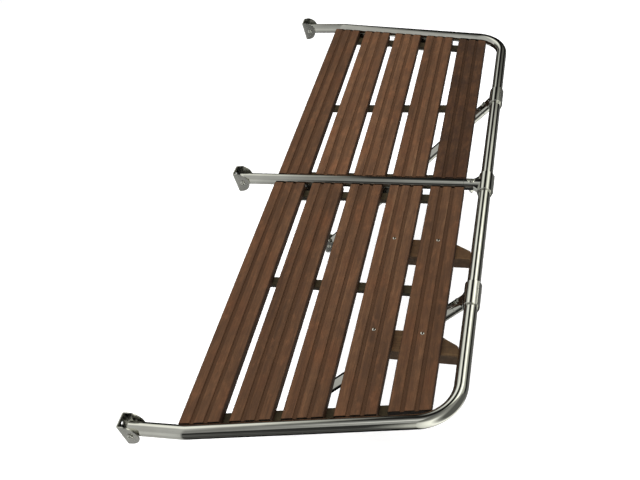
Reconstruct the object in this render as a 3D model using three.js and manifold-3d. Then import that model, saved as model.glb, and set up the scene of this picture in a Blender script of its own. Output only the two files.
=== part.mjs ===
// A folding swim platform for a boat's transom: a bent stainless tube frame with a middle tube,
// ten grooved teak slats, three hinge brackets and two support struts on openable tee clamps.
// Millimetres. +X points outboard from the transom, +Y along it and +Z up. The origin is on the
// middle bracket's mounting face, level with the hinge pins.
import * as THREE from 'three';
import { mergeVertices } from 'three/addons/utils/BufferGeometryUtils.js';
import Module from 'manifold-3d';

const wasm = await Module();
wasm.setup();

// ---- driving dimensions ----
const GAP = 0.3;                // clearance between pieces that touch
const TUBE_R = 12.5;
const TUBE_WALL = 1.5;
const TUBE_SIDES = 24;

const RAKE = 6.2 * Math.PI / 180;   // lean of the transom, its lower edge outboard
const BASE_TO_PIN = 17.2;             // mounting face to hinge pin
const HINGE_Y = 666.2;              // arm axis at the hinge pin
const KINK = { x: 112.5, y: 662.2, radius: 60 };
const CORNER = { x: 562.5, y: 580.3, radius: 80 };   // where arm and front rail axes would meet

const DECK_X = 96.3;            // inboard edge of the first slat
const SLAT = { count: 5, pitch: 88, width: 71, thick: 18, top: 5.5, midY: 15.5, armGap: 15, bendGap: 3.4 };
const GROOVE = { width: 8, depth: 3, offset: 12 };
const SLAT_EDGE = 1.8;          // chamfer along the slats' long top edges
const BEARER = { width: 21, thick: 8, midY: 296.5, offset: 32.5, startX: 97, endX: 513 };

const BRACKET = { ear: 2.2, earGap: 13.5, height: 50, roundX: -9, cornerR: 3.5, holeZ: 15, holeR: 3.2 };
const PIN = { r: 4, headR: 5.4, headH: 2.6, edge: 1, socketR: 2.4, socketDepth: 1.6 };
const TUBE_TAIL = 7;            // tube beyond the hinge pin
const PLUG_LENGTH = 2.6;

const LUG = { width: 30, thick: 3, riser: 6, inboard: 8, overlap: 43, gaps: [0, 2] };

const CLAMP = { outerR: 16, railHalf: 28, branchEnd: 45, spigotEnd: 68, split: 0.4, web: 6 };
const GUSSET = [[-8, 22], [-14, 22], [-25, 12]];     // outline of the corner between rail and branch
const BOLT = { x: -30, r: 3, seatZ: 8.8, seatR: 7.7, headR: 4.6, headH: 3.2, flangeR: 7, flangeH: 1.2 };
const NUT = { across: 10, hexH: 8, domeR: 4.6, domeH: 5.8 };
const KNUCKLE = { x: 14.6, r: 2.6, midHalf: 9, pinR: 1, pinProud: 0.8 };

const STRUT_Y = 315;
const FOOT_DROP = 518;          // foot pins below the hinge pins

const BLOCK = { startX: 362.5, chamferX: 503.5, endX: 548.5, width: 48, thick: 25, drop: 26, cornerR: 5 };
const BLOCK_FAR_Y = { inner: -161, outer: -397 };
const BLOCK_SCREW = { fromEdge: 17, headR: 3.6, headH: 2, shankR: 2.2, length: 38 };

// ---- worked-out places ----
const hingeX = BASE_TO_PIN / Math.cos(RAKE);
const armSlope = (KINK.y - CORNER.y) / (CORNER.x - KINK.x);
const armAngle = Math.atan(armSlope);
const tailSlope = (HINGE_Y - KINK.y) / (KINK.x - hingeX);
const footX = hingeX + FOOT_DROP * Math.tan(RAKE);
const strutAngle = Math.atan2(FOOT_DROP, CORNER.x - footX);
const strutLength = Math.hypot(FOOT_DROP, CORNER.x - footX);
const slatBottom = SLAT.top - SLAT.thick;
const bearerTop = slatBottom - GAP;
const bearerBottom = bearerTop - BEARER.thick;
const slatX = i => DECK_X + i * SLAT.pitch;
const armY = x => KINK.y - armSlope * (x - KINK.x);

const platform = new THREE.Group();

const COLORS = {
  polished: { color: 0xcfd2d0, roughness: 0.12, metalness: 1 },
  satin: { color: 0x9fa19c, roughness: 0.38, metalness: 1 },
  teak: { color: 0x6e4a33, roughness: 0.75, metalness: 0 },
  plug: { color: 0x2b2b29, roughness: 0.6, metalness: 0 },
};

function place(name, look, geometry, parent = platform) {
  const mesh = new THREE.Mesh(geometry, new THREE.MeshStandardMaterial(COLORS[look]));
  mesh.name = name;
  parent.add(mesh);
  return mesh;
}

// ---- joining and cutting ----
function solid(geometry) {
  const bare = geometry.clone();
  bare.deleteAttribute('normal');
  bare.deleteAttribute('uv');
  const merged = mergeVertices(bare, 1e-4);
  return new wasm.Manifold(new wasm.Mesh({
    numProp: 3,
    vertProperties: new Float32Array(merged.attributes.position.array),
    triVerts: new Uint32Array(merged.index.array),
  }));
}

function geometryOf(body) {
  const mesh = body.getMesh();
  const geometry = new THREE.BufferGeometry();
  geometry.setAttribute('position', new THREE.BufferAttribute(mesh.vertProperties, 3));
  geometry.setIndex(new THREE.BufferAttribute(mesh.triVerts, 1));
  return geometry;
}

function combine(start, joined, cut) {
  let body = solid(start);
  for (const geometry of joined) body = body.add(solid(geometry));
  for (const geometry of cut) body = body.subtract(solid(geometry));
  return geometryOf(body);
}

function mirroredY(geometry) {
  const flat = geometry.index ? geometry.toNonIndexed() : geometry.clone();
  const p = flat.attributes.position;
  const mirrored = new Float32Array(p.array.length);
  const order = [0, 2, 1];
  for (let i = 0; i < p.count; i += 3) {
    order.forEach((from, to) => {
      mirrored.set([p.getX(i + from), -p.getY(i + from), p.getZ(i + from)], 3 * (i + to));
    });
  }
  const result = new THREE.BufferGeometry();
  result.setAttribute('position', new THREE.BufferAttribute(mirrored, 3));
  return mergeVertices(result, 1e-4);
}

// ---- plain shapes ----
function box(x0, x1, y0, y1, z0, z1) {
  const geometry = new THREE.BoxGeometry(x1 - x0, y1 - y0, z1 - z0);
  return geometry.translate((x0 + x1) / 2, (y0 + y1) / 2, (z0 + z1) / 2);
}

function rodY(r, y0, y1, x = 0, z = 0, sides = 16) {
  return new THREE.CylinderGeometry(r, r, y1 - y0, sides).translate(x, (y0 + y1) / 2, z);
}

function rodX(r, x0, x1, sides = TUBE_SIDES) {
  const rod = new THREE.CylinderGeometry(r, r, x1 - x0, sides);
  return rod.rotateZ(Math.PI / 2).translate((x0 + x1) / 2, 0, 0);
}

function rodZ(r, z0, z1, x = 0, y = 0, sides = 16) {
  const rod = new THREE.CylinderGeometry(r, r, z1 - z0, sides);
  return rod.rotateX(Math.PI / 2).translate(x, y, (z0 + z1) / 2);
}

// An outline in the XY plane, extruded from z0 to z1.
function slab(shape, z0, z1, curveSegments = 6) {
  const settings = { depth: z1 - z0, bevelEnabled: false, curveSegments };
  return new THREE.ExtrudeGeometry(shape, settings).translate(0, 0, z0);
}

function outline(points) {
  return new THREE.Shape(points.map(([x, y]) => new THREE.Vector2(x, y)));
}

// ---- bent tubes ----
// A path of straight runs joined by arcs, which keeps one ring of the tube at each given place.
class BentPath extends THREE.Curve {
  constructor(points, tangents) {
    super();
    this.points = points;
    this.tangents = tangents;
  }

  getSpacedPoints() {
    return this.points;
  }

  getTangentAt(u) {
    return this.tangents[Math.round(u * (this.points.length - 1))].clone();
  }
}

const ARC_STEP = 10 * Math.PI / 180;

function bentPath(start, corners, end) {
  const points = [start];
  const tangents = [];
  const stops = [start, ...corners, end];
  for (let i = 1; i < stops.length - 1; i++) {
    const into = stops[i].clone().sub(stops[i - 1]).normalize();
    const out = stops[i + 1].clone().sub(stops[i]).normalize();
    if (i === 1) tangents.push(into);
    const turn = into.angleTo(out);
    const reach = stops[i].radius * Math.tan(turn / 2);
    const first = stops[i].clone().addScaledVector(into, -reach);
    const inward = out.clone().addScaledVector(into, -out.dot(into)).normalize();
    const steps = Math.max(2, Math.ceil(turn / ARC_STEP));
    for (let k = 0; k <= steps; k++) {
      const angle = turn * k / steps;
      const along = stops[i].radius * Math.sin(angle);
      const aside = stops[i].radius * (1 - Math.cos(angle));
      points.push(first.clone().addScaledVector(into, along).addScaledVector(inward, aside));
      tangents.push(into.clone().multiplyScalar(Math.cos(angle)).addScaledVector(inward, Math.sin(angle)));
    }
  }
  points.push(end);
  tangents.push(end.clone().sub(stops[stops.length - 2]).normalize());
  return new BentPath(points, tangents);
}

function cornerAt(x, y, radius) {
  const point = new THREE.Vector3(x, y, 0);
  point.radius = radius;
  return point;
}

function sweptTube(path) {
  const ring = new THREE.Shape().absarc(0, 0, TUBE_R, 0, 2 * Math.PI);
  ring.holes.push(new THREE.Path().absarc(0, 0, TUBE_R - TUBE_WALL, 0, 2 * Math.PI));
  const settings = { steps: path.points.length - 1, extrudePath: path, curveSegments: TUBE_SIDES / 2 };
  return new THREE.ExtrudeGeometry(ring, settings);
}

function straightTube(x0, x1) {
  const inner = rodX(TUBE_R - TUBE_WALL, x0 - 1, x1 + 1);
  return combine(rodX(TUBE_R, x0, x1), [], [inner]);
}

function pinHole(y = 0, x = 0) {
  return rodY(PIN.r + GAP, y - 20, y + 20, x);
}

function addTubes() {
  const dx = TUBE_TAIL;
  const path = bentPath(
    new THREE.Vector3(hingeX - dx, HINGE_Y + dx * tailSlope, 0),
    [
      cornerAt(KINK.x, KINK.y, KINK.radius),
      cornerAt(CORNER.x, CORNER.y, CORNER.radius),
      cornerAt(CORNER.x, -CORNER.y, CORNER.radius),
      cornerAt(KINK.x, -KINK.y, KINK.radius),
    ],
    new THREE.Vector3(hingeX - dx, -HINGE_Y - dx * tailSlope, 0),
  );
  const holes = [pinHole(HINGE_Y, hingeX), pinHole(-HINGE_Y, hingeX)];
  place('frame_tube', 'polished', combine(sweptTube(path), [], holes));

  const midEnd = CORNER.x - CLAMP.branchEnd - GAP;
  const midTube = combine(straightTube(hingeX - TUBE_TAIL, midEnd), [], [pinHole(0, hingeX)]);
  place('middle_tube', 'polished', midTube);
}

// Plug that closes a tube's hinged end, short of the pin. The pin is at its local origin.
function plugGeometry() {
  return rodX(TUBE_R - TUBE_WALL - GAP, -TUBE_TAIL, -TUBE_TAIL + PLUG_LENGTH);
}

function addPlugs() {
  const tailAngle = Math.atan(tailSlope);
  const ends = [
    ['far_arm_plug', HINGE_Y, -tailAngle],
    ['middle_tube_plug', 0, 0],
    ['near_arm_plug', -HINGE_Y, tailAngle],
  ];
  for (const [name, y, turn] of ends) {
    const plug = place(name, 'plug', plugGeometry());
    plug.position.set(hingeX, y, 0);
    plug.rotation.z = turn;
  }
}

// ---- hinge brackets ----
// Folded from plate: a mounting base and two round-nosed ears. The pin is at its local origin.
function bracketGeometry() {
  const outer = BRACKET.earGap + BRACKET.ear;
  const back = -BASE_TO_PIN;
  const front = BRACKET.roundX + BRACKET.height / 2;
  const r = BRACKET.cornerR;
  const channel = new THREE.Shape();
  channel.moveTo(front, -outer);
  channel.lineTo(front, -BRACKET.earGap);
  channel.lineTo(back + BRACKET.ear, -BRACKET.earGap);
  channel.lineTo(back + BRACKET.ear, BRACKET.earGap);
  channel.lineTo(front, BRACKET.earGap);
  channel.lineTo(front, outer);
  channel.lineTo(back + r, outer);
  channel.absarc(back + r, outer - r, r, Math.PI / 2, Math.PI);
  channel.absarc(back + r, -outer + r, r, Math.PI, 1.5 * Math.PI);
  const folded = solid(slab(channel, -BRACKET.height / 2, BRACKET.height / 2, 3));

  const half = BRACKET.height / 2;
  const ear = new THREE.Shape();
  ear.moveTo(back - 1, -half);
  ear.lineTo(BRACKET.roundX, -half);
  ear.absarc(BRACKET.roundX, 0, half, -Math.PI / 2, Math.PI / 2);
  ear.lineTo(back - 1, half);
  const earSlab = slab(ear, -outer - 1, outer + 1, 9).rotateX(Math.PI / 2);
  let body = folded.intersect(solid(earSlab)).subtract(solid(pinHole()));
  for (const z of [-BRACKET.holeZ, BRACKET.holeZ]) {
    const screwHole = rodX(BRACKET.holeR, back - 1, back + BRACKET.ear + 1, 12).translate(0, 0, z);
    body = body.subtract(solid(screwHole));
  }
  return geometryOf(body);
}

// Headed cross pin with a socket in one end, along Y through both ears.
function pinGeometry() {
  const face = BRACKET.earGap + BRACKET.ear + GAP;
  const tip = face + PIN.headH;
  const profile = [
    [0, -tip], [PIN.headR - PIN.edge, -tip], [PIN.headR, -tip + PIN.edge], [PIN.headR, -face], [PIN.r, -face],
    [PIN.r, face], [PIN.headR, face], [PIN.headR, tip - PIN.edge], [PIN.headR - PIN.edge, tip], [0, tip],
  ];
  const lathe = new THREE.LatheGeometry(profile.map(([x, y]) => new THREE.Vector2(x, y)), 20);
  const socket = rodY(PIN.socketR, -tip - 1, -tip + PIN.socketDepth, 0, 0, 6);
  return combine(lathe, [], [socket]);
}

function addBracket(prefix, x, y, z) {
  const bracket = place(prefix + '_bracket', 'satin', bracketGeometry());
  bracket.position.set(x, y, z);
  bracket.rotation.y = -RAKE;
  const pin = place(prefix + '_pin', 'polished', pinGeometry());
  pin.position.set(x, y, z);
}

function addBrackets() {
  addBracket('far_hinge', hingeX, HINGE_Y, 0);
  addBracket('middle_hinge', hingeX, 0, 0);
  addBracket('near_hinge', hingeX, -HINGE_Y, 0);
  addBracket('far_foot', footX, STRUT_Y, -FOOT_DROP);
  addBracket('near_foot', footX, -STRUT_Y, -FOOT_DROP);
}

// ---- teak deck ----
function slatSection() {
  const half = SLAT.width / 2;
  const top = SLAT.top;
  const points = [[-half, slatBottom], [half, slatBottom], [half, top - SLAT_EDGE], [half - SLAT_EDGE, top]];
  for (const centre of [GROOVE.offset, -GROOVE.offset]) {
    const floor = top - GROOVE.depth;
    const halfTop = GROOVE.width / 2;
    const halfFloor = halfTop - 1;
    points.push([centre + halfTop, top], [centre + halfFloor, floor]);
    points.push([centre - halfFloor, floor], [centre - halfTop, top]);
  }
  points.push([-half + SLAT_EDGE, top], [-half, top - SLAT_EDGE]);
  return outline(points);
}

// One slat of the far half: square by the middle tube and cut along the arm at its other end.
// The last slat ends a little sooner, to clear the tube's bend.
function slatGeometry(i) {
  const middle = slatX(i) + SLAT.width / 2;
  const armGap = SLAT.armGap + (i === SLAT.count - 1 ? SLAT.bendGap : 0);
  const geometry = slab(slatSection(), 0, 1).rotateX(Math.PI / 2).translate(middle, 1, 0);
  const p = geometry.attributes.position;
  for (let k = 0; k < p.count; k++) {
    const isArmEnd = p.getY(k) > 0.5;
    p.setY(k, isArmEnd ? armY(p.getX(k)) - armGap : SLAT.midY);
  }
  return geometry;
}

function blockScrewHoles(i) {
  const x = slatX(i) + SLAT.width / 2;
  return Object.values(BLOCK_FAR_Y).map(farY => {
    const y = farY - BLOCK_SCREW.fromEdge;
    return [x, y];
  });
}

function screwEnvelope(x, y, grow) {
  const { headR, headH, shankR, length } = BLOCK_SCREW;
  const top = SLAT.top;
  const profile = [
    [0, top - length - grow], [shankR + grow, top - length + 2], [shankR + grow, top - headH - grow],
    [headR + grow, top + (grow ? 0.02 : 0)], [headR + grow, top + grow * 4], [0, top + grow * 4],
  ];
  const points = profile.map(([r, z]) => new THREE.Vector2(r, z));
  const unique = points.filter((point, k) => k === 0 || point.distanceTo(points[k - 1]) > 1e-6);
  return new THREE.LatheGeometry(unique, 14).rotateX(Math.PI / 2).translate(x, y, 0);
}

function addSlats() {
  for (let i = 0; i < SLAT.count; i++) {
    const far = slatGeometry(i);
    place(`far_slat_${i + 1}`, 'teak', far);
    const near = mirroredY(far);
    const holes = i >= SLAT.count - 2 ? blockScrewHoles(i) : [];
    const cuts = holes.map(([x, y]) => screwEnvelope(x, y, 0.25));
    place(`near_slat_${i + 1}`, 'teak', holes.length ? combine(near, [], cuts) : near);
  }
}

function bearerGeometry(y) {
  const half = BEARER.width / 2;
  return box(BEARER.startX, BEARER.endX, y - half, y + half, bearerBottom, bearerTop);
}

function armBearerGeometry() {
  const length = (BEARER.endX - BEARER.startX) / Math.cos(armAngle);
  const middleX = (BEARER.endX + BEARER.startX) / 2;
  const bar = new THREE.BoxGeometry(length, BEARER.width, BEARER.thick);
  const y = armY(middleX) - BEARER.offset / Math.cos(armAngle);
  return bar.rotateZ(-armAngle).translate(middleX, y, (bearerTop + bearerBottom) / 2);
}

function addBearers() {
  const far = {
    inner: bearerGeometry(BEARER.offset),
    middle: bearerGeometry(BEARER.midY),
    arm: armBearerGeometry(),
  };
  for (const [where, geometry] of Object.entries(far)) {
    place(`far_${where}_bearer`, 'teak', geometry);
    place(`near_${where}_bearer`, 'teak', mirroredY(geometry));
  }
}

// ---- lugs that carry the deck on the tubes ----
// Local frame: the tube runs along X at the origin, and the bearer lies on the -Y side.
function lugGeometry(bothSides) {
  const half = LUG.width / 2;
  const plateTop = bearerBottom - GAP;
  const riserY = bothSides ? 0 : -LUG.inboard;
  const edge = bothSides ? LUG.overlap : riserY + LUG.riser;
  const plate = box(-half, half, -LUG.overlap, edge, plateTop - LUG.thick, plateTop);
  const riser = box(-half, half, riserY - LUG.riser, riserY + LUG.riser, plateTop - 1, 3 - TUBE_R);
  return combine(plate, [riser], [rodX(TUBE_R + GAP, -half - 1, half + 1)]);
}

function addLugs() {
  for (const gap of LUG.gaps) {
    const x = slatX(gap) + SLAT.width + (SLAT.pitch - SLAT.width) / 2;
    const armLug = lugGeometry(false).rotateZ(-armAngle).translate(x, armY(x), 0);
    place(`far_arm_lug_${gap + 1}`, 'satin', armLug);
    place(`near_arm_lug_${gap + 1}`, 'satin', mirroredY(armLug));
    const middleLug = place(`middle_lug_${gap + 1}`, 'satin', lugGeometry(true));
    middleLug.position.set(x, 0, 0);
  }
}

// ---- ladder blocks under the outboard slats ----
function blockGeometry(farY) {
  const { startX, chamferX, endX, width, drop, cornerR } = BLOCK;
  const shape = new THREE.Shape();
  shape.moveTo(startX, farY - width);
  shape.lineTo(endX, farY - width);
  shape.lineTo(endX, farY - drop - cornerR);
  const slope = Math.atan2(drop, endX - chamferX);
  const roundedX = endX - cornerR * Math.cos(slope);
  shape.quadraticCurveTo(endX, farY - drop, roundedX, farY - drop + cornerR * Math.sin(slope));
  shape.lineTo(chamferX, farY);
  shape.lineTo(startX, farY);
  return slab(shape, bearerTop - BLOCK.thick, bearerTop, 4);
}

function addBlocks() {
  const screws = [SLAT.count - 2, SLAT.count - 1].map(blockScrewHoles);
  Object.entries(BLOCK_FAR_Y).forEach(([where, farY], row) => {
    const cuts = screws.map(pair => screwEnvelope(...pair[row], 0.25));
    place(`${where}_ladder_block`, 'teak', combine(blockGeometry(farY), [], cuts));
    screws.forEach((pair, k) => {
      place(`${where}_block_screw_${k + 1}`, 'polished', screwEnvelope(...pair[row], 0));
    });
  });
}

// ---- openable tee clamps ----
// Local frame: the rail runs along Y through the origin, the branch points along -X, and the two
// halves meet on the plane z = 0. The branch is as thick as the tube, and its spigot goes into the
// tube. The hinge knuckles are on the rail's outboard side.
function clampOutside() {
  const { outerR, railHalf, branchEnd, spigotEnd, web } = CLAMP;
  const collar = rodY(outerR, -railHalf, railHalf, 0, 0, TUBE_SIDES);
  const branch = rodX(TUBE_R, -branchEnd, 0);
  const spigot = rodX(TUBE_R - TUBE_WALL - GAP, -spigotEnd, -branchEnd + 1);
  const otherSide = GUSSET.map(([x, y]) => [x, -y]).reverse();
  const gusset = slab(outline([...GUSSET, ...otherSide]), -web, web);
  return solid(collar).add(solid(branch)).add(solid(spigot)).add(solid(gusset));
}

function knuckle(grow, y0, y1) {
  return solid(rodY(KNUCKLE.r + grow, y0, y1, KNUCKLE.x, 0, 14));
}

function clampHalf(side) {
  const { railHalf, split } = CLAMP;
  const keepZ = side > 0 ? [split, 40] : [-40, -split];
  const keep = solid(box(-80, 40, -60, 60, keepZ[0], keepZ[1]));
  const gap = GAP + 0.1;
  const ends = [[-railHalf, -KNUCKLE.midHalf - gap], [KNUCKLE.midHalf + gap, railHalf]];
  const middle = [[-KNUCKLE.midHalf, KNUCKLE.midHalf]];
  const own = side > 0 ? middle : ends;
  const other = side > 0 ? ends : middle;
  let body = clampOutside().intersect(keep);
  for (const [y0, y1] of other) body = body.subtract(knuckle(gap, y0 - gap, y1 + gap));
  for (const [y0, y1] of own) body = body.add(knuckle(0, y0, y1));
  const cuts = [
    rodY(TUBE_R + GAP, -railHalf - 1, railHalf + 1, 0, 0, TUBE_SIDES),
    rodZ(BOLT.r + GAP, -TUBE_R, TUBE_R, BOLT.x),
    rodZ(BOLT.seatR, BOLT.seatZ, TUBE_R + 1, BOLT.x, 0, 20),
    rodZ(BOLT.seatR, -TUBE_R - 1, -BOLT.seatZ, BOLT.x, 0, 20),
    rodY(KNUCKLE.pinR + GAP, -railHalf - 1, railHalf + 1, KNUCKLE.x, 0, 10),
  ];
  for (const cut of cuts) body = body.subtract(solid(cut));
  return geometryOf(body);
}

function clampBolt() {
  const seat = BOLT.seatZ + GAP;
  const headTop = seat + BOLT.flangeH + BOLT.headH;
  const shank = rodZ(BOLT.r, -seat - NUT.hexH, seat + 0.5, BOLT.x, 0, 12);
  const flange = rodZ(BOLT.flangeR, seat, seat + BOLT.flangeH, BOLT.x, 0, 20);
  const head = rodZ(BOLT.headR, seat + 1, headTop, BOLT.x, 0, 16);
  return combine(shank, [flange, head], []);
}

// Acorn nut: a hexagon and a dome, with a blind hole for the bolt.
function clampNut() {
  const top = -BOLT.seatZ - GAP;
  const hex = rodZ(NUT.across / Math.sqrt(3), top - NUT.hexH, top, BOLT.x, 0, 6);
  const arc = [];
  for (let k = 0; k <= 5; k++) {
    const angle = k / 5 * Math.PI / 2;
    arc.push(new THREE.Vector2(NUT.domeR * Math.sin(angle), -NUT.domeH * Math.cos(angle)));
  }
  arc.push(new THREE.Vector2(NUT.domeR, 1), new THREE.Vector2(0, 1));
  const dome = new THREE.LatheGeometry(arc, 14).rotateX(Math.PI / 2).translate(BOLT.x, 0, top - NUT.hexH);
  const hole = rodZ(BOLT.r + GAP, top - NUT.hexH - GAP, top + 1, BOLT.x, 0, 12);
  return combine(hex, [dome], [hole]);
}

function addClamp(prefix, parent) {
  place(prefix + '_clamp_upper', 'polished', clampHalf(1), parent);
  place(prefix + '_clamp_lower', 'polished', clampHalf(-1), parent);
  const reach = CLAMP.railHalf + KNUCKLE.pinProud;
  place(prefix + '_clamp_hinge_pin', 'satin', rodY(KNUCKLE.pinR, -reach, reach, KNUCKLE.x, 0, 10), parent);
  place(prefix + '_clamp_bolt', 'polished', clampBolt(), parent);
  place(prefix + '_clamp_nut', 'polished', clampNut(), parent);
}

// ---- clamps and struts on the front rail ----
function addMiddleClamp() {
  const group = new THREE.Group();
  group.position.set(CORNER.x, 0, 0);
  platform.add(group);
  addClamp('middle', group);
}

function addStrut(prefix, y) {
  const group = new THREE.Group();
  group.position.set(CORNER.x, y, 0);
  group.rotation.y = -strutAngle;
  platform.add(group);
  addClamp(prefix, group);
  const tube = straightTube(-strutLength - TUBE_TAIL, -CLAMP.branchEnd - GAP);
  place(prefix + '_strut', 'polished', combine(tube, [], [pinHole(0, -strutLength)]), group);
}

addTubes();
addPlugs();
addBrackets();
addSlats();
addBearers();
addLugs();
addBlocks();
addMiddleClamp();
addStrut('far', STRUT_Y);
addStrut('near', -STRUT_Y);

export default platform;
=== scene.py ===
# Looks for the folding swim platform: polished tubes, hardwood slats, brackets and tee clamps.
# Lengths are in millimetres until mesh_piece turns them into metres.
import math
import random

import bpy
from mathutils import Matrix, Vector


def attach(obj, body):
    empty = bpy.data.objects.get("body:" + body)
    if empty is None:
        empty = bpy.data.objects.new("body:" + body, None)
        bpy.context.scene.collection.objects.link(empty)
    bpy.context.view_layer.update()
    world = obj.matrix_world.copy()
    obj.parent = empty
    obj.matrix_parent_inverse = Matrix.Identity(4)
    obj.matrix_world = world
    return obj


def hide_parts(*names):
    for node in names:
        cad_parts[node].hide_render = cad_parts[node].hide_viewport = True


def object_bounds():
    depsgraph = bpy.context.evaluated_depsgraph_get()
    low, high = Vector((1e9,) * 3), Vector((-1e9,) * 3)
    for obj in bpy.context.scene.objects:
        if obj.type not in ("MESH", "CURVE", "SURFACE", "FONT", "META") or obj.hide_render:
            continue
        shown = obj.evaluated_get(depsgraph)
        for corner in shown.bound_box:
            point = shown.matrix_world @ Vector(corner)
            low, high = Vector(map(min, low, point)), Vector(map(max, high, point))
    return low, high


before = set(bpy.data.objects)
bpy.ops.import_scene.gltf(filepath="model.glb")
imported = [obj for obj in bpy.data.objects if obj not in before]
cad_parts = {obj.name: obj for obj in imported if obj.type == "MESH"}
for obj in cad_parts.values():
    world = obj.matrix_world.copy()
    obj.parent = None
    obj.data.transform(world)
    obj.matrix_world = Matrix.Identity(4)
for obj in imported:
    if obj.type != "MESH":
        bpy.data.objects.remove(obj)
cad_low, cad_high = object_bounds()
scene = bpy.context.scene

# ---- driving dimensions, the same as the CAD part's ----
GAP = 0.3                        # clearance between two parts that touch
TUBE_R = 12.5
TUBE_WALL = 1.5
TUBE_EDGE = 0.35                 # rounding at a tube's open end
RAKE = math.radians(6.2)
BASE_TO_PIN = 17.2
HINGE_X = BASE_TO_PIN / math.cos(RAKE)
HINGE_Y = 666.2
KINK_X, KINK_Y, KINK_RADIUS = 112.5, 662.2, 60.0
RAIL_X, CORNER_Y, CORNER_RADIUS = 562.5, 580.3, 80.0
TUBE_TAIL = 7.0
ARM_SLOPE = (KINK_Y - CORNER_Y) / (RAIL_X - KINK_X)
TAIL_SLOPE = (HINGE_Y - KINK_Y) / (KINK_X - HINGE_X)

DECK_X, SLAT_PITCH, SLAT_WIDTH, SLAT_COUNT = 96.3, 88.0, 71.0, 5
SLAT_TOP, SLAT_THICK = 5.5, 18.0
SLAT_BOTTOM = SLAT_TOP - SLAT_THICK
SLAT_MID_Y, SLAT_ARM_GAP, SLAT_BEND_GAP = 15.5, 15.0, 3.4
GROOVE_WIDTH, GROOVE_DEPTH, GROOVE_OFFSET = 8.0, 3.0, 12.0

STRUT_Y = 315.0
FOOT_DROP = 518.0
FOOT_X = HINGE_X + FOOT_DROP * math.tan(RAKE)
STRUT_ANGLE = math.atan2(FOOT_DROP, RAIL_X - FOOT_X)
STRUT_LENGTH = math.hypot(FOOT_DROP, RAIL_X - FOOT_X)

CLAMP_R, CLAMP_HALF, CLAMP_REACH, SPIGOT_END = 16.0, 28.0, 45.0, 68.0
CLAMP_SPLIT, CLAMP_WEB = 0.4, 6.0
GUSSET = [(-8, 22), (-14, 22), (-25, 12)]
BOLT_X, BOLT_R, SEAT_Z, SEAT_R = -30.0, 3.0, 8.8, 7.7
KNUCKLE_X, KNUCKLE_R, KNUCKLE_MID, KNUCKLE_GAP = 14.6, 2.5, 9.0, 0.4
CLAMP_PIN_R, CLAMP_PIN_PROUD = 1.0, 0.8

EAR, EAR_GAP, BASE_HEIGHT, NOSE_X, BEND_R = 2.2, 13.5, 49.8, -9.0, 3.5
SCREW_HOLE_Z, SCREW_HOLE_R = 15.0, 3.2
PIN_R, PIN_HEAD_R, PIN_HEAD_H = 4.0, 5.4, 2.6
PIN_SOCKET_R, PIN_SOCKET_DEPTH = 2.5, 1.6

BLOCK_SCREW_Y = {"inner": -178.0, "outer": -414.0}
SCREW_R, SCREW_DOME, SCREW_SHANK = 3.4, 0.7, 8.0
CROSS_LENGTH, CROSS_WIDTH, CROSS_DEPTH = 3.8, 0.9, 1.2

SIDES = 64                       # segments round a tube or a turned part


def arm_y(x):
    return KINK_Y - ARM_SLOPE * (x - KINK_X)


def slat_left(i):
    return DECK_X + i * SLAT_PITCH


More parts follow.
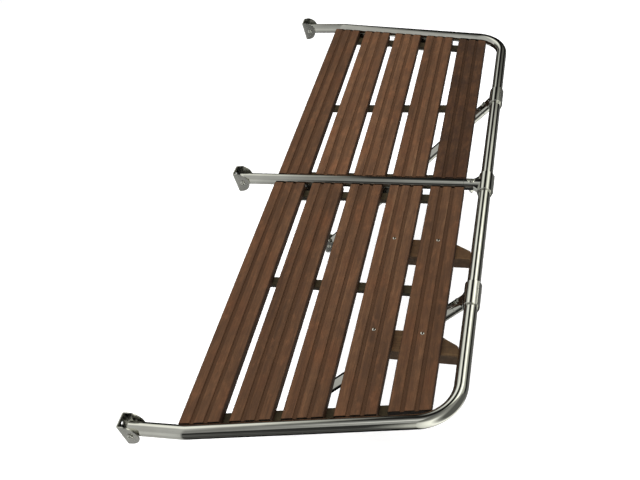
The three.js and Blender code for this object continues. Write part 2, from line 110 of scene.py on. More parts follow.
# ---- materials ----
class Nodes:
    """Short calls for building a node material."""

    def __init__(self, name):
        self.material = bpy.data.materials.new(name)
        self.material.use_nodes = True
        self.tree = self.material.node_tree
        self.shader = self.tree.nodes["Principled BSDF"]
        self.coords = self.tree.nodes.new("ShaderNodeTexCoord").outputs["Object"]

    def link(self, source, node, socket):
        self.tree.links.new(source, node.inputs[socket])

    def set(self, socket, value):
        self.shader.inputs[socket].default_value = value

    def stretched(self, scale, offset=(0, 0, 0)):
        node = self.tree.nodes.new("ShaderNodeMapping")
        node.inputs["Scale"].default_value = scale
        node.inputs["Location"].default_value = offset
        self.link(self.coords, node, "Vector")
        return node.outputs["Vector"]

    def noise(self, vector, scale=1.0, detail=4.0, roughness=0.55, distortion=0.0):
        node = self.tree.nodes.new("ShaderNodeTexNoise")
        node.inputs["Scale"].default_value = scale
        node.inputs["Detail"].default_value = detail
        node.inputs["Roughness"].default_value = roughness
        node.inputs["Distortion"].default_value = distortion
        self.link(vector, node, "Vector")
        return node.outputs["Fac"]

    def ramp(self, source, stops):
        node = self.tree.nodes.new("ShaderNodeValToRGB")
        while len(node.color_ramp.elements) < len(stops):
            node.color_ramp.elements.new(0.5)
        for element, (place, colour) in zip(node.color_ramp.elements, stops):
            element.position = place
            element.color = (*colour, 1.0)
        self.link(source, node, "Fac")
        return node.outputs["Color"]

    def range(self, source, low, high, to_low, to_high):
        node = self.tree.nodes.new("ShaderNodeMapRange")
        node.inputs["From Min"].default_value = low
        node.inputs["From Max"].default_value = high
        node.inputs["To Min"].default_value = to_low
        node.inputs["To Max"].default_value = to_high
        self.link(source, node, "Value")
        return node.outputs["Result"]

    def mix(self, factor, first, second, blend="MIX"):
        node = self.tree.nodes.new("ShaderNodeMix")
        node.data_type = "RGBA"
        node.blend_type = blend
        sockets = {"Factor": node.inputs[0], "A": node.inputs[6], "B": node.inputs[7]}
        for name, value in (("Factor", factor), ("A", first), ("B", second)):
            if isinstance(value, bpy.types.NodeSocket):
                self.tree.links.new(value, sockets[name])
            elif name == "Factor":
                sockets[name].default_value = value
            else:
                sockets[name].default_value = (*value, 1.0)
        return node.outputs[2]

    def math(self, operation, first, second=0.0):
        node = self.tree.nodes.new("ShaderNodeMath")
        node.operation = operation
        for socket, value in zip(node.inputs, (first, second)):
            if isinstance(value, bpy.types.NodeSocket):
                self.tree.links.new(value, socket)
            else:
                socket.default_value = value
        return node.outputs["Value"]

    def component(self, vector, name):
        node = self.tree.nodes.new("ShaderNodeSeparateXYZ")
        self.link(vector, node, "Vector")
        return node.outputs[name]

    def normal(self):
        return self.tree.nodes.new("ShaderNodeNewGeometry").outputs["Normal"]

    def bump(self, height, strength, distance):
        node = self.tree.nodes.new("ShaderNodeBump")
        node.inputs["Strength"].default_value = strength
        node.inputs["Distance"].default_value = distance
        self.link(height, node, "Height")
        self.link(node.outputs["Normal"], self.shader, "Normal")


STEEL_SLOT = "polished_stainless"      # these name the material
SATIN_SLOT = "satin_stainless"


def polished_steel():
    n = Nodes(STEEL_SLOT)
    cloud = n.noise(n.stretched((14, 14, 14)), detail=5)
    scuffs = n.noise(n.stretched((60, 260, 60), (3, 1, 2)), detail=3, roughness=0.7)
    colour = n.ramp(cloud, [(0.3, (0.62, 0.62, 0.575)), (0.7, (0.74, 0.745, 0.70))])
    n.link(colour, n.shader, "Base Color")
    sheen = n.range(cloud, 0.35, 0.7, 0.03, 0.06)
    scuffed = n.range(scuffs, 0.55, 0.8, 0.0, 0.05)
    n.link(n.math("ADD", sheen, scuffed), n.shader, "Roughness")
    n.set("Metallic", 1.0)
    n.bump(scuffs, 0.035, 0.0005)
    return n.material


def satin_steel():
    n = Nodes(SATIN_SLOT)
    cloud = n.noise(n.stretched((35, 35, 35)), detail=6)
    brushed = n.noise(n.stretched((90, 90, 1400), (1, 4, 0)), detail=2)
    colour = n.ramp(cloud, [(0.3, (0.42, 0.42, 0.39)), (0.75, (0.60, 0.60, 0.565))])
    n.link(colour, n.shader, "Base Color")
    n.link(n.range(brushed, 0.3, 0.75, 0.16, 0.30), n.shader, "Roughness")
    n.set("Metallic", 1.0)
    n.bump(brushed, 0.12, 0.0004)
    return n.material


def black_plastic():
    n = Nodes("plug_plastic")
    grain = n.noise(n.stretched((900, 900, 900)), detail=3)
    colour = n.ramp(grain, [(0.3, (0.012, 0.012, 0.012)), (0.8, (0.03, 0.03, 0.029))])
    n.link(colour, n.shader, "Base Color")
    n.link(n.range(grain, 0.3, 0.7, 0.45, 0.62), n.shader, "Roughness")
    n.bump(grain, 0.15, 0.0003)
    return n.material


def teak(name, seed, light, stain=0.0, along_x=False, slat_x=None, tint=(1.0, 1.0, 1.0)):
    """Hardwood with its grain along Y, or along X for a bearer or a block; slat_x is a slat's centre."""
    n = Nodes(name)
    shift = random.Random(seed)
    offset = tuple(shift.uniform(-40, 40) for _ in range(3))

    def grain(across, along):
        return (along, across, across) if along_x else (across, along, across)

    def tone(red, green, blue):
        return tuple(light * part * shade for part, shade in zip(tint, (red, green, blue)))

    boards = n.noise(n.stretched(grain(24, 1.8), offset), detail=3, distortion=0.4)
    streaks = n.noise(n.stretched(grain(150, 4.5), offset), detail=6, roughness=0.62, distortion=0.5)
    fibres = n.noise(n.stretched(grain(1100, 26.0), offset), detail=4, roughness=0.7)
    blotches = n.noise(n.stretched((19, 11, 19), offset), detail=5, roughness=0.6)
    patches = n.noise(n.stretched((70, 34, 70), offset), detail=5, roughness=0.68)
    figure = n.math("ADD", n.math("MULTIPLY", boards, 0.5), n.math("MULTIPLY", streaks, 0.5))
    base = n.ramp(figure, [
        (0.30, tone(0.030, 0.015, 0.0075)), (0.44, tone(0.068, 0.034, 0.0168)),
        (0.57, tone(0.098, 0.049, 0.0242)), (0.72, tone(0.150, 0.084, 0.044)),
    ])
    layers = [
        (n.range(blotches, 0.48, 0.75, 0.0, 0.5), tone(0.116, 0.044, 0.0185)),
        (n.range(fibres, 0.36, 0.62, 0.5, 0.0), tone(0.024, 0.012, 0.007)),
        (n.range(blotches, 0.30, 0.46, 0.22 + stain, 0.0), (0.014, 0.0095, 0.0075)),
        (n.range(patches, 0.38, 0.54, 0.25 + stain, 0.0), tone(0.040, 0.020, 0.013)),
        (n.range(patches, 0.54, 0.68, 0.0, 0.30), tone(0.150, 0.066, 0.032)),
    ]
    if slat_x is not None:
        side = n.math("ABSOLUTE", n.math("SUBTRACT", n.component(n.coords, "X"), slat_x * 0.001))
        away = n.math("ABSOLUTE", n.math("SUBTRACT", side, GROOVE_OFFSET * 0.001))
        wander = n.range(streaks, 0.3, 0.7, -0.0008, 0.0008)
        # Painted shade: the teak in and beside each groove is darkened for the shade that falls in the
        # groove.
        groove_painted_shade = n.range(n.math("ADD", away, wander), 0.0032, 0.0052, 0.68, 0.0)
        # Painted shade: the outer 2 mm of each slat, its rounded edges and sides, is darkened almost to
        # black for the shade in the gaps between slats.
        edge_painted_shade = n.range(n.math("ADD", side, wander), 0.0335, 0.0355, 0.0, 0.6)
        layers += [(groove_painted_shade, tone(0.044, 0.0215, 0.0105)), (edge_painted_shade, (0.012, 0.008, 0.006))]
    end_grain = n.math("ABSOLUTE", n.component(n.normal(), "X" if along_x else "Y"))
    layers.append((n.range(end_grain, 0.55, 0.8, 0.0, 0.8), (0.010, 0.008, 0.006)))
    colour = base
    for amount, paint in layers:
        colour = n.mix(amount, colour, paint)
    n.link(colour, n.shader, "Base Color")
    n.link(n.range(streaks, 0.3, 0.7, 0.58, 0.78), n.shader, "Roughness")
    n.set("Specular IOR Level", 0.22)
    height = n.math("ADD", n.math("MULTIPLY", fibres, 0.6), streaks)
    n.bump(height, 0.35, 0.0006)
    return n.material


STEEL = polished_steel()
SATIN = satin_steel()
PLASTIC = black_plastic()


# ---- mesh helpers ----
def mesh_piece(name, verts, faces, material, body, replaced, slot, bevel=0.0, sharp=35):
    """A visual piece in millimetres that rides on a body and stands for CAD nodes."""
    mesh = bpy.data.meshes.new(name)
    mesh.from_pydata([Vector(v) * 0.001 for v in verts], [], faces)
    mesh.validate()
    mesh.update()
    mesh.shade_smooth()
    mesh.set_sharp_from_angle(angle=math.radians(sharp))
    piece = bpy.data.objects.new(name, mesh)
    scene.collection.objects.link(piece)
    mesh.materials.append(material)
    if bevel:
        add_bevel(piece, bevel)
    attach(piece, body)
    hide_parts(*replaced)


def add_bevel(piece, width):
    bevel = piece.modifiers.new("bevel", "BEVEL")
    bevel.width = width * 0.001
    bevel.segments = 2
    bevel.limit_method = "ANGLE"
    bevel.angle_limit = math.radians(38)
    bevel.harden_normals = True


def ring_faces(rings, sides, closed_path=False):
    faces = []
    for k in range(rings if closed_path else rings - 1):
        a, b = k * sides, ((k + 1) % rings) * sides
        for j in range(sides):
            i = (j + 1) % sides
            faces.append((a + j, a + i, b + i, b + j))
    return faces


def tube_mesh(points, tangents, side=Vector((0, 0, 1))):
    """A hollow tube along a flat path; its rings run along the outside and back inside."""
    profile = [(TUBE_R - TUBE_EDGE, 0), (TUBE_R, TUBE_EDGE)]
    rings = []

    def ring(centre, tangent, radius):
        across = tangent.cross(side).normalized()
        up = across.cross(tangent).normalized()
        for j in range(SIDES):
            a = 2 * math.pi * j / SIDES
            rings.append(centre + across * (radius * math.cos(a)) + up * (radius * math.sin(a)))

    first, last = points[0], points[-1]
    t0, t1 = tangents[0], tangents[-1]
    for radius, inset in profile:
        ring(first + t0 * inset, t0, radius)
    for point, tangent in zip(points[1:-1], tangents[1:-1]):
        ring(point, tangent, TUBE_R)
    for radius, inset in reversed(profile):
        ring(last - t1 * inset, t1, radius)
    inner = TUBE_R - TUBE_WALL
    ring(last, t1, inner)
    for point, tangent in zip(reversed(points[1:-1]), reversed(tangents[1:-1])):
        ring(point, tangent, inner)
    ring(first, t0, inner)
    return rings, ring_faces(len(rings) // SIDES, SIDES, closed_path=True)


def bent_path(stops):
    """Straight runs joined by arcs. Each stop is (point, radius); the ends have radius 0."""
    points, tangents = [stops[0][0]], []
    for (before, _), (corner, radius), (after, _) in zip(stops, stops[1:], stops[2:]):
        into = (corner - before).normalized()
        out = (after - corner).normalized()
        if not tangents:
            tangents.append(into)
        turn = into.angle(out)
        start = corner - into * (radius * math.tan(turn / 2))
        inward = (out - into * out.dot(into)).normalized()
        steps = max(3, math.ceil(math.degrees(turn) / 2.5))
        for k in range(steps + 1):
            a = turn * k / steps
            along, aside = radius * math.sin(a), radius * (1 - math.cos(a))
            points.append(start + into * along + inward * aside)
            tangents.append(into * math.cos(a) + inward * math.sin(a))
    points.append(stops[-1][0])
    tangents.append((stops[-1][0] - stops[-2][0]).normalized())
    return points, tangents


def lathe_mesh(profile, matrix, hex_rings=(), sides=48):
    """Rings about local Z from (radius, height) pairs; the rings in hex_rings are hexagons."""
    verts = []
    for k, (radius, height) in enumerate(profile):
        for j in range(sides):
            a = 2 * math.pi * j / sides
            r = radius
            if k in hex_rings:
                turn = (a + math.pi / 6) % (math.pi / 3) - math.pi / 6
                r = radius * math.cos(math.pi / 6) / math.cos(turn)
            verts.append(matrix @ Vector((r * math.cos(a), r * math.sin(a), height)))
    faces = ring_faces(len(profile), sides)
    faces.append(tuple(reversed(range(sides))))
    faces.append(tuple(range((len(profile) - 1) * sides, len(profile) * sides)))
    return verts, faces


def prism_mesh(outline, low, high, place):
    """An outline extruded from low to high; place turns (u, v, depth) into a point."""
    count = len(outline)
    verts = [place(u, v, d) for d in (low, high) for u, v in outline]
    faces = [tuple(reversed(range(count))), tuple(range(count, 2 * count))]
    for j in range(count):
        i = (j + 1) % count
        faces.append((j, i, count + i, count + j))
    return verts, faces


def outward(verts, faces):
    """The same shape with its faces turned to look outwards."""
    volume = 0.0
    for face in faces:
        a = verts[face[0]]
        for k in range(1, len(face) - 1):
            volume += a.dot(verts[face[k]].cross(verts[face[k + 1]]))
    return verts, faces if volume > 0 else [tuple(reversed(face)) for face in faces]


def upright_prism(outline, low, high):
    return outward(*prism_mesh(outline, low, high, lambda u, v, d: Vector((u, v, d))))


def box_shape(xs, ys, zs):
    return upright_prism([(xs[0], ys[0]), (xs[1], ys[0]), (xs[1], ys[1]), (xs[0], ys[1])], *zs)


def turned(profile, place, sides=SIDES, hex_rings=()):
    """A closed solid of revolution about the Z axis of place."""
    return outward(*lathe_mesh(profile, place, hex_rings, sides))


def carve(base, steps):
    """Joins and cuts closed shapes; each step is (operation, shape)."""
    objects = []
    for verts, faces in [base] + [shape for _, shape in steps]:
        mesh = bpy.data.meshes.new("shape")
        mesh.from_pydata(verts, [], faces)
        mesh.update()
        objects.append(bpy.data.objects.new("shape", mesh))
        scene.collection.objects.link(objects[-1])
    for tool, (operation, _) in zip(objects[1:], steps):
        step = objects[0].modifiers.new(operation, "BOOLEAN")
        step.operation = operation
        step.solver = "EXACT"
        step.object = tool
    graph = bpy.context.evaluated_depsgraph_get()
    made = bpy.data.meshes.new_from_object(objects[0].evaluated_get(graph))
    verts = [v.co.copy() for v in made.vertices]
    faces = [tuple(p.vertices) for p in made.polygons]
    for item in objects:
        bpy.data.objects.remove(item)
    return verts, faces


def moved(shape, place):
    verts, faces = shape
    return [place @ v for v in verts], faces


ALONG_Y = Matrix.Rotation(math.radians(-90), 4, "X")
ALONG_MINUS_X = Matrix.Rotation(math.radians(-90), 4, "Y")


def at(x, y, z):
    return Matrix.Translation((x, y, z))


def round_bar(radius, low, high, place, chamfer=0.0):
    if not chamfer:
        return turned([(radius, low), (radius, high)], place)
    small = radius - chamfer
    profile = [(small, low), (radius, low + chamfer), (radius, high - chamfer), (small, high)]
    return turned(profile, place)


def rounded(corners, steps=5):
    """A polygon whose corners (x, y, radius) are rounded with curves of about that radius."""
    points = []
    count = len(corners)
    for k, (x, y, radius) in enumerate(corners):
        here = Vector((x, y))
        before = Vector(corners[k - 1][:2]) - here
        after = Vector(corners[(k + 1) % count][:2]) - here
        if radius <= 0:
            points.append((x, y))
            continue
        opening = before.angle(after)
        reach = min(radius / math.tan(opening / 2), before.length * 0.5, after.length * 0.5)
        for s in range(steps + 1):
            t = s / steps
            p = here + before.normalized() * reach * (1 - t) ** 2
            p += after.normalized() * reach * t ** 2
            points.append((p.x, p.y))
    return points


# ---- tubes ----
def straight_tube(start, end, side):
    along = (end - start).normalized()
    return tube_mesh([start, start.lerp(end, 0.5), end], [along] * 3, side)


def build_tubes():
    def flat(x, y):
        return Vector((x, y, 0))

    end_x = HINGE_X - TUBE_TAIL
    end_y = HINGE_Y + TUBE_TAIL * TAIL_SLOPE
    stops = [
        (flat(end_x, end_y), 0),
        (flat(KINK_X, KINK_Y), KINK_RADIUS),
        (flat(RAIL_X, CORNER_Y), CORNER_RADIUS),
        (flat(RAIL_X, -CORNER_Y), CORNER_RADIUS),
        (flat(KINK_X, -KINK_Y), KINK_RADIUS),
        (flat(end_x, -end_y), 0),
    ]
    shape = tube_mesh(*bent_path(stops))
    mesh_piece("frame_tube_polished", *shape, STEEL, "platform", ["frame_tube"], STEEL_SLOT)

    shape = straight_tube(flat(end_x, 0), flat(RAIL_X - CLAMP_REACH - GAP, 0), Vector((0, 0, 1)))
    mesh_piece("middle_tube_polished", *shape, STEEL, "platform", ["middle_tube"], STEEL_SLOT)


def strut_frame(y):
    return Matrix.Translation((RAIL_X, y, 0)) @ Matrix.Rotation(-STRUT_ANGLE, 4, "Y")


def build_struts():
    for side, y in (("near", -STRUT_Y), ("far", STRUT_Y)):
        local = strut_frame(y)
        start = local @ Vector((-STRUT_LENGTH - TUBE_TAIL, 0, 0))
        end = local @ Vector((-CLAMP_REACH - GAP, 0, 0))
        shape = straight_tube(start, end, Vector((0, 1, 0)))
        strut = f"{side}_strut"
        mesh_piece(f"{strut}_polished", *shape, STEEL, strut, [strut], STEEL_SLOT)


# ---- deck ----
def slat_outline():
    half = SLAT_WIDTH / 2
    top, floor = SLAT_TOP, SLAT_TOP - GROOVE_DEPTH
    corners = [(-half, SLAT_BOTTOM, 1.5), (half, SLAT_BOTTOM, 1.5), (half, top, 2.6)]
    for centre in (GROOVE_OFFSET, -GROOVE_OFFSET):
        edge, deep = GROOVE_WIDTH / 2, GROOVE_WIDTH / 2 - 1
        corners += [(centre + edge, top, 1.0), (centre + deep, floor, 1.0)]
        corners += [(centre - deep, floor, 1.0), (centre - edge, top, 1.0)]
    corners.append((-half, top, 2.6))
    return rounded(corners)


def build_slats():
    outline = slat_outline()
    # Each slat's lightness and its dark stain, from the inboard slat to the outboard one.
    tones = {
        "far": [(0.93, 0), (1.22, 0), (1.17, 0), (1.0, 0), (0.62, 0.4)],
        "near": [(1.0, 0), (1.0, 0), (1.05, 0.03), (0.98, 0.03), (0.92, 0.06)],
    }
    for side, sign in (("far", 1), ("near", -1)):
        for i in range(SLAT_COUNT):
            centre = slat_left(i) + SLAT_WIDTH / 2
            arm_gap = SLAT_ARM_GAP + (SLAT_BEND_GAP if i == SLAT_COUNT - 1 else 0)

            def place(u, v, d):
                x = centre + u
                y = arm_y(x) - arm_gap if d else SLAT_MID_Y
                return Vector((x, sign * y, v))

            light, stain = tones[side][i]
            material = teak(f"teak_{side}_{i + 1}", 10 * i + sign, light, stain, slat_x=centre)
            shape = outward(*prism_mesh(outline, 0, 1, place))
            slat = f"{side}_slat_{i + 1}"
            mesh_piece(f"{slat}_grooved", *shape, material, "platform", [slat], "teak", bevel=0.7)


def finish_cad_node(name, material, bevel):
    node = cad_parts[name]
    node.data.materials.clear()
    node.data.materials.append(material)
    add_bevel(node, bevel)


def build_underside():
    # Painted shade: the bearers' teak is made darker and greyer than the slats' to stand in for the
    # shadow under the deck.
    bearer_wood_painted_shade = teak("teak_bearer", 77, 0.62, 0.2, along_x=True, tint=(0.72, 1.15, 1.2))
    block_wood = teak("teak_block", 91, 1.0, 0.1, along_x=True, tint=(0.92, 1.08, 1.05))
    for side in ("near", "far"):
        for where in ("inner", "middle", "arm"):
            finish_cad_node(f"{side}_{where}_bearer", bearer_wood_painted_shade, 1.2)
        for gap in (1, 3):
            finish_cad_node(f"{side}_arm_lug_{gap}", SATIN, 0.4)
    for gap in (1, 3):
        finish_cad_node(f"middle_lug_{gap}", SATIN, 0.4)
    for where in ("inner", "outer"):
        finish_cad_node(f"{where}_ladder_block", block_wood, 1.5)


# ---- brackets, pins and clamps ----
def bracket_shape():
    """A folded plate: base and two round-nosed ears, with the pin at the local origin."""
    outer, back, half = EAR_GAP + EAR, -BASE_TO_PIN, BASE_HEIGHT / 2
    front, inside = NOSE_X + half, back + EAR
    inner_r = BEND_R - EAR
    channel = rounded([
        (front, -outer, 0), (front, -EAR_GAP, 0),
        (inside, -EAR_GAP, inner_r), (inside, EAR_GAP, inner_r),
        (front, EAR_GAP, 0), (front, outer, 0),
        (back, outer, BEND_R), (back, -outer, BEND_R),
    ], 8)
    angles = [math.radians(-90 + 5 * k) for k in range(37)]
    nose = [(NOSE_X + half * math.cos(a), half * math.sin(a)) for a in angles]
    ear = [(back - 1, -half)] + nose + [(back - 1, half)]
    folded = upright_prism(channel, -half, half)
    trim = outward(*prism_mesh(ear, -outer - 1, outer + 1, lambda u, v, d: Vector((u, d, v))))
    steps = [("INTERSECT", trim), ("DIFFERENCE", round_bar(PIN_R + GAP, -30, 30, ALONG_Y))]
    for z in (SCREW_HOLE_Z, -SCREW_HOLE_Z):
        hole = round_bar(SCREW_HOLE_R, -back - 6, -back + 6, at(0, 0, z) @ ALONG_MINUS_X)
        steps.append(("DIFFERENCE", hole))
    return carve(folded, steps)


def pin_shape():
    """A cross pin with a low button head at both ends; a hexagon socket is sunk in the near head."""
    face = EAR_GAP + EAR + GAP
    tip = face + PIN_HEAD_H
    button = ((0.55, 0), (0.8, 0.25), (0.95, 0.9), (1, 1.8))
    head = [(PIN_HEAD_R * part, tip - drop) for part, drop in button]
    low = [(r, -z) for r, z in head]
    shank = [(PIN_HEAD_R, -face), (PIN_R, -face), (PIN_R, face), (PIN_HEAD_R, face)]
    profile = low + shank + head[::-1]
    socket = turned([(PIN_SOCKET_R, -tip - 1), (PIN_SOCKET_R, -tip + PIN_SOCKET_DEPTH)], ALONG_Y, 6)
    return carve(turned(profile, ALONG_Y), [("DIFFERENCE", socket)])


def build_brackets():
    bracket, pin = bracket_shape(), pin_shape()
    tilt = Matrix.Rotation(-RAKE, 4, "Y")
    places = [
        ("far_hinge", "transom_brackets", HINGE_X, HINGE_Y, 0),
        ("middle_hinge", "transom_brackets", HINGE_X, 0, 0),
        ("near_hinge", "transom_brackets", HINGE_X, -HINGE_Y, 0),
        ("far_foot", "far_foot", FOOT_X, STRUT_Y, -FOOT_DROP),
        ("near_foot", "near_foot", FOOT_X, -STRUT_Y, -FOOT_DROP),
    ]
    for prefix, body, x, y, z in places:
        place = at(x, y, z) @ tilt
        mesh_piece(f"{prefix}_bracket_folded", *moved(bracket, place), SATIN, body,
                   [f"{prefix}_bracket"], SATIN_SLOT, bevel=0.35)
        mesh_piece(f"{prefix}_pin_headed", *moved(pin, place), STEEL, body,
                   [f"{prefix}_pin"], STEEL_SLOT, bevel=0.15)
    for plug in ("far_arm_plug", "middle_tube_plug", "near_arm_plug"):
        finish_cad_node(plug, PLASTIC, 0.5)


def clamp_half(sign):
    """One half shell of a tee clamp; the rail runs along local Y and the branch along local -X."""
    gusset = GUSSET + [(x, -y) for x, y in reversed(GUSSET)]
    wide, narrow = KNUCKLE_MID + KNUCKLE_GAP, KNUCKLE_MID - KNUCKLE_GAP
    if sign > 0:
        keep = (CLAMP_SPLIT, 40)
        own = [(-KNUCKLE_MID, KNUCKLE_MID)]
        other = [(-CLAMP_HALF - 1, -narrow), (narrow, CLAMP_HALF + 1)]
    else:
        keep = (-40, -CLAMP_SPLIT)
        own = [(-CLAMP_HALF, -wide), (wide, CLAMP_HALF)]
        other = [(-wide, wide)]
    bolt_line = at(BOLT_X, 0, 0)
    hinge = at(KNUCKLE_X, 0, 0) @ ALONG_Y
    spigot_r = TUBE_R - TUBE_WALL - GAP
    steps = [
        ("UNION", round_bar(TUBE_R, 1, CLAMP_REACH, ALONG_MINUS_X, 0.6)),
        ("UNION", round_bar(spigot_r, CLAMP_REACH - 2, SPIGOT_END, ALONG_MINUS_X, 0.6)),
        ("UNION", upright_prism(gusset, -CLAMP_WEB, CLAMP_WEB)),
        ("INTERSECT", box_shape((-80, 40), (-60, 60), keep)),
    ]
    steps += [("DIFFERENCE", round_bar(KNUCKLE_R + KNUCKLE_GAP, y0, y1, hinge)) for y0, y1 in other]
    steps += [("UNION", round_bar(KNUCKLE_R, y0, y1, hinge, 0.3)) for y0, y1 in own]
    steps += [
        ("DIFFERENCE", round_bar(TUBE_R + GAP, -60, 60, ALONG_Y)),
        ("DIFFERENCE", round_bar(BOLT_R + GAP, -40, 40, bolt_line)),
        ("DIFFERENCE", round_bar(SEAT_R, SEAT_Z, 20, bolt_line)),
        ("DIFFERENCE", round_bar(SEAT_R, -20, -SEAT_Z, bolt_line)),
        ("DIFFERENCE", round_bar(CLAMP_PIN_R + GAP, -60, 60, hinge)),
    ]
    body = round_bar(CLAMP_R, -CLAMP_HALF, CLAMP_HALF, ALONG_Y, 0.8)
    return carve(body, steps)


def bolt_shape():
    """A flanged button head with a hexagon socket above the clamp, and its shank."""
    seat = SEAT_Z + GAP
    flange_r, head_r, socket_r = 7.0, 4.6, 2.9
    profile = [
        (BOLT_R, -seat - 8), (BOLT_R, seat), (flange_r, seat), (flange_r, seat + 0.4),
        (flange_r - 0.3, seat + 0.7), (head_r, seat + 1.2), (head_r, seat + 3.0),
        (head_r - 0.25, seat + 3.8), (head_r - 0.8, seat + 4.3),
    ]
    place = at(BOLT_X, 0, 0)
    socket = turned([(socket_r, seat + 1.6), (socket_r, seat + 9)], place, 6)
    return carve(turned(profile, place), [("DIFFERENCE", socket)])


def nut_shape():
    """An acorn nut: hexagon, then dome."""
    top = -SEAT_Z - GAP
    hex_r, hex_height, dome_r, dome_height = 5.77, 8.0, 4.6, 5.7
    low = top - hex_height
    arc = [math.radians(80 - 8 * k) for k in range(11)]
    dome = [(dome_r * math.cos(a), low - dome_height * math.sin(a)) for a in arc]
    hexagon = [(5.3, low), (hex_r, low + 0.6), (hex_r, top - 0.4), (5.3, top)]
    place = at(BOLT_X, 0, 0)
    hex_rings = range(len(dome), len(dome) + len(hexagon))
    shape = turned(dome + hexagon, place, 48, hex_rings)
    return carve(shape, [("DIFFERENCE", round_bar(BOLT_R + GAP, low - GAP, top + 2, place))])


def build_clamps():
    halves = {"upper": clamp_half(1), "lower": clamp_half(-1)}
    reach = CLAMP_HALF + CLAMP_PIN_PROUD
    pin = round_bar(CLAMP_PIN_R, -reach, reach, at(KNUCKLE_X, 0, 0) @ ALONG_Y, 0.3)
    bolt, nut = bolt_shape(), nut_shape()
    places = [
        ("middle", "platform", at(RAIL_X, 0, 0)),
        ("near", "near_strut", strut_frame(-STRUT_Y)),
        ("far", "far_strut", strut_frame(STRUT_Y)),
    ]
    for prefix, body, place in places:
        for half, shape in halves.items():
            mesh_piece(f"{prefix}_clamp_{half}_cast", *moved(shape, place), STEEL, body,
                       [f"{prefix}_clamp_{half}"], STEEL_SLOT, sharp=28)
        mesh_piece(f"{prefix}_clamp_hinge_pin_round", *moved(pin, place), SATIN, body,
                   [f"{prefix}_clamp_hinge_pin"], SATIN_SLOT)
        mesh_piece(f"{prefix}_clamp_bolt_headed", *moved(bolt, place), STEEL, body,
                   [f"{prefix}_clamp_bolt"], STEEL_SLOT, bevel=0.15)
        mesh_piece(f"{prefix}_clamp_nut_domed", *moved(nut, place), STEEL, body,
                   [f"{prefix}_clamp_nut"], STEEL_SLOT)


# ---- screws ----
def screw_shape():
    """A countersunk screw with a shallow dome and a cross recess; the wood's top is at local z = 0."""
    shank_r = SCREW_R * 0.55
    profile = [
        (shank_r, -SCREW_SHANK), (shank_r, -1.8), (SCREW_R, -0.1),
        (SCREW_R * 0.92, SCREW_DOME * 0.45), (SCREW_R * 0.7, SCREW_DOME * 0.8),
        (SCREW_R * 0.35, SCREW_DOME),
    ]
    long_way = (-CROSS_LENGTH / 2, CROSS_LENGTH / 2)
    short_way = (-CROSS_WIDTH / 2, CROSS_WIDTH / 2)
    deep = (SCREW_DOME - CROSS_DEPTH, 3)
    recess = [
        ("DIFFERENCE", box_shape(short_way, long_way, deep)),
        ("DIFFERENCE", box_shape(long_way, short_way, deep)),
    ]
    return carve(turned(profile, Matrix.Identity(4), 32), recess)


def build_block_screws():
    screw = screw_shape()
    for where, y in BLOCK_SCREW_Y.items():
        for k, slat in enumerate((SLAT_COUNT - 2, SLAT_COUNT - 1)):
            x = slat_left(slat) + SLAT_WIDTH / 2
            place = at(x, y, SLAT_TOP) @ Matrix.Rotation(0.5 + k, 4, "Z")
            name = f"{where}_block_screw_{k + 1}"
            mesh_piece(name + "_headed", *moved(screw, place), STEEL, "platform", [name], STEEL_SLOT)


# ---- floor, light and camera ----
def build_stage():
    """A pale paper floor, a little below the feet; mirror-like steel doesn't see it."""
    reach, low = 9.0, cad_low.z - 0.004
    mesh = bpy.data.meshes.new("floor")
    corners = [(-reach, -reach, low), (reach, -reach, low), (reach, reach, low), (-reach, reach, low)]
    mesh.from_pydata(corners, [], [(0, 1, 2, 3)])
    floor = bpy.data.objects.new("floor", mesh)
    scene.collection.objects.link(floor)
    paper = bpy.data.materials.new("paper")
    paper.use_nodes = True
    shader = paper.node_tree.nodes["Principled BSDF"]
    shader.inputs["Base Color"].default_value = (0.86, 0.86, 0.86, 1)
    shader.inputs["Roughness"].default_value = 0.9
    shader.inputs["Emission Color"].default_value = (1, 1, 1, 1)
    shader.inputs["Emission Strength"].default_value = 0.45
    mesh.materials.append(paper)
    floor.visible_glossy = False


def area_light(name, power, size, location, target):
    """A soft light that mirror-like steel doesn't see."""
    data = bpy.data.lights.new(name, "AREA")
    data.shape = "RECTANGLE"
    data.size, data.size_y = size
    data.energy = power
    light = bpy.data.objects.new(name, data)
    light.location = location
    light.rotation_euler = (Vector(target) - Vector(location)).to_track_quat("-Z", "Y").to_euler()
    light.visible_glossy = False
    scene.collection.objects.link(light)


def build_light():
    middle = (0.3, 0, 0)
    area_light("key", 95, (2.2, 2.2), (0.2, 0.4, 2.6), middle)
    area_light("side", 40, (1.2, 2.6), (2.6, -0.4, 1.2), middle)
    area_light("left", 30, (1.2, 2.4), (-2.2, -0.6, 1.6), middle)
    build_world()


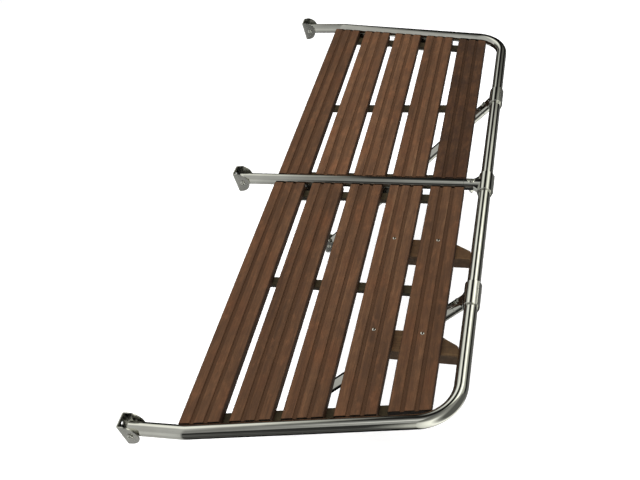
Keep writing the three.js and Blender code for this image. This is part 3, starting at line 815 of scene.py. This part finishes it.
def build_world():
    """Pale to the camera, an even soft light, and in the steel a room of pale panels and dark gaps."""
    world = bpy.data.worlds.new("studio")
    scene.world = world
    world.use_nodes = True
    tree = world.node_tree
    nodes, links = tree.nodes, tree.links
    nodes.clear()
    coords = nodes.new("ShaderNodeTexCoord")
    split = nodes.new("ShaderNodeSeparateXYZ")
    links.new(coords.outputs["Generated"], split.inputs["Vector"])

    def bands(axis, stops):
        """A grey ramp along one direction component; stops are (component, grey)."""
        scaled = nodes.new("ShaderNodeMapRange")
        scaled.inputs["From Min"].default_value = -1.0
        scaled.inputs["From Max"].default_value = 1.0
        links.new(split.outputs[axis], scaled.inputs["Value"])
        ramp = nodes.new("ShaderNodeValToRGB")
        while len(ramp.color_ramp.elements) < len(stops):
            ramp.color_ramp.elements.new(0.5)
        for element, (place, grey) in zip(ramp.color_ramp.elements, sorted(stops)):
            element.position = (place + 1) / 2
            element.color = (grey, grey, grey * 0.96, 1)
        links.new(scaled.outputs["Result"], ramp.inputs["Fac"])
        return ramp.outputs["Color"]

    def blend(factor, first, second):
        mix = nodes.new("ShaderNodeMix")
        mix.data_type = "RGBA"
        links.new(factor, mix.inputs[0])
        links.new(first, mix.inputs[6])
        links.new(second, mix.inputs[7])
        return mix.outputs[2]

    def times(first, second):
        product = nodes.new("ShaderNodeVectorMath")
        product.operation = "MULTIPLY"
        links.new(first, product.inputs[0])
        links.new(second, product.inputs[1])
        return product.outputs["Vector"]

    def step(axis, low, high):
        return bands(axis, [(low, 0.0), (high, 1.0)])

    left_panel = bands("Y", [
        (-1.00, 0.66), (-0.90, 0.66), (-0.80, 0.50), (-0.45, 0.50), (-0.17, 0.54), (0.00, 0.48),
        (0.30, 0.64), (0.45, 0.62), (0.74, 0.44), (0.92, 0.75),
    ])
    far_wall = bands("X", [
        (-0.62, 0.80), (-0.50, 1.15), (-0.38, 1.10), (-0.29, 0.50), (-0.21, 0.03), (-0.02, 0.0),
    ])
    window = bands("X", [
        (0.04, 0.0), (0.11, 0.30), (0.19, 0.90), (0.30, 1.60), (0.45, 2.00), (0.56, 0.80),
        (0.66, 0.60),
    ])
    window = times(window, bands("Y", [(0.70, 1.0), (0.76, 0.75), (0.79, 0.55), (0.84, 0.12)]))
    far_side = blend(step("X", -0.06, 0.02), far_wall, window)
    far_side = times(far_side, bands("Z", [
        (-0.02, 0.10), (0.04, 0.0), (0.22, 0.0), (0.30, 0.32), (0.42, 0.75), (0.55, 1.0),
    ]))
    ceiling = bands("Y", [
        (-1.00, 0.14), (-0.96, 0.13), (-0.92, 0.03), (-0.82, 0.02), (-0.72, 0.20), (-0.62, 0.32),
        (-0.45, 0.26), (0.05, 0.26), (0.30, 0.12),
    ])
    skylight = bands("Y", [
        (-0.93, 0.04), (-0.82, 0.02), (-0.74, 0.10), (-0.62, 0.50), (-0.48, 0.40), (-0.36, 0.30),
        (-0.22, 1.10), (-0.08, 0.60), (0.06, 0.30), (0.25, 0.12),
    ])
    ceiling = blend(step("X", -0.20, -0.02), ceiling, skylight)
    pit = bands("Z", [(-1.00, 0.0), (-0.85, 0.01), (-0.68, 0.09), (-0.38, 0.05), (-0.08, 0.14)])
    right_pit = bands("Z", [(-0.90, 0.05), (-0.60, 0.20), (-0.30, 0.14), (-0.06, 0.09)])
    black = bands("Z", [(-1.00, 0.003), (1.00, 0.003)])
    right_panel = bands("X", [
        (0.10, 0.50), (0.16, 0.75), (0.35, 1.15), (0.53, 1.40), (0.62, 0.90), (0.72, 0.35),
        (0.82, 0.12),
    ])
    right_panel = times(right_panel, bands("Z", [(0.55, 1.0), (0.80, 0.25), (1.00, 0.20)]))

    near_left = step("X", -0.26, -0.36)
    near_right = step("X", 0.09, 0.16)
    is_far = step("Y", 0.30, 0.36)
    near_above = blend(near_right, blend(near_left, ceiling, left_panel), right_panel)
    near_below = blend(near_right, blend(near_left, pit, left_panel), right_panel)
    above = blend(is_far, near_above, far_side)
    far_below = blend(step("X", -0.3, 0.3), black, right_pit)
    below = blend(is_far, near_below, far_below)
    room = blend(step("Z", -0.10, -0.02), below, above)

    def background(colour, strength):
        node = nodes.new("ShaderNodeBackground")
        if isinstance(colour, bpy.types.NodeSocket):
            links.new(colour, node.inputs["Color"])
        else:
            node.inputs["Color"].default_value = (*colour, 1)
        node.inputs["Strength"].default_value = strength
        return node.outputs["Background"]

    rays = nodes.new("ShaderNodeLightPath")
    mirrored = nodes.new("ShaderNodeMixShader")
    links.new(rays.outputs["Is Glossy Ray"], mirrored.inputs["Fac"])
    links.new(background((1, 1, 1), 0.25), mirrored.inputs[1])
    links.new(background(room, 1.0), mirrored.inputs[2])
    seen = nodes.new("ShaderNodeMixShader")
    links.new(rays.outputs["Is Camera Ray"], seen.inputs["Fac"])
    links.new(mirrored.outputs["Shader"], seen.inputs[1])
    links.new(background((1, 1, 1), 0.95), seen.inputs[2])
    output = nodes.new("ShaderNodeOutputWorld")
    links.new(seen.outputs["Shader"], output.inputs["Surface"])


def build_camera():
    """The photograph's viewpoint, in metres."""
    location = Vector((0.67229, -1.27819, 1.10477))
    target = Vector((0.24141, -0.18799, 0.0))
    roll = math.radians(12.394)
    data = bpy.data.cameras.new("camera")
    data.sensor_width = 36.0
    data.lens = 43.88
    camera = bpy.data.objects.new("camera", data)
    forward = (target - location).normalized()
    level = forward.cross(Vector((0, 0, 1))).normalized()
    upright = level.cross(forward)
    up = upright * math.cos(roll) + level * math.sin(roll)
    right = level * math.cos(roll) - upright * math.sin(roll)
    pose = Matrix((right, up, -forward)).transposed().to_4x4()
    pose.translation = location
    camera.matrix_world = pose
    scene.collection.objects.link(camera)
    scene.camera = camera


build_tubes()
build_struts()
build_slats()
build_underside()
build_brackets()
build_clamps()
build_block_screws()
build_stage()
build_light()
build_camera()
scene.view_settings.view_transform = "Standard"
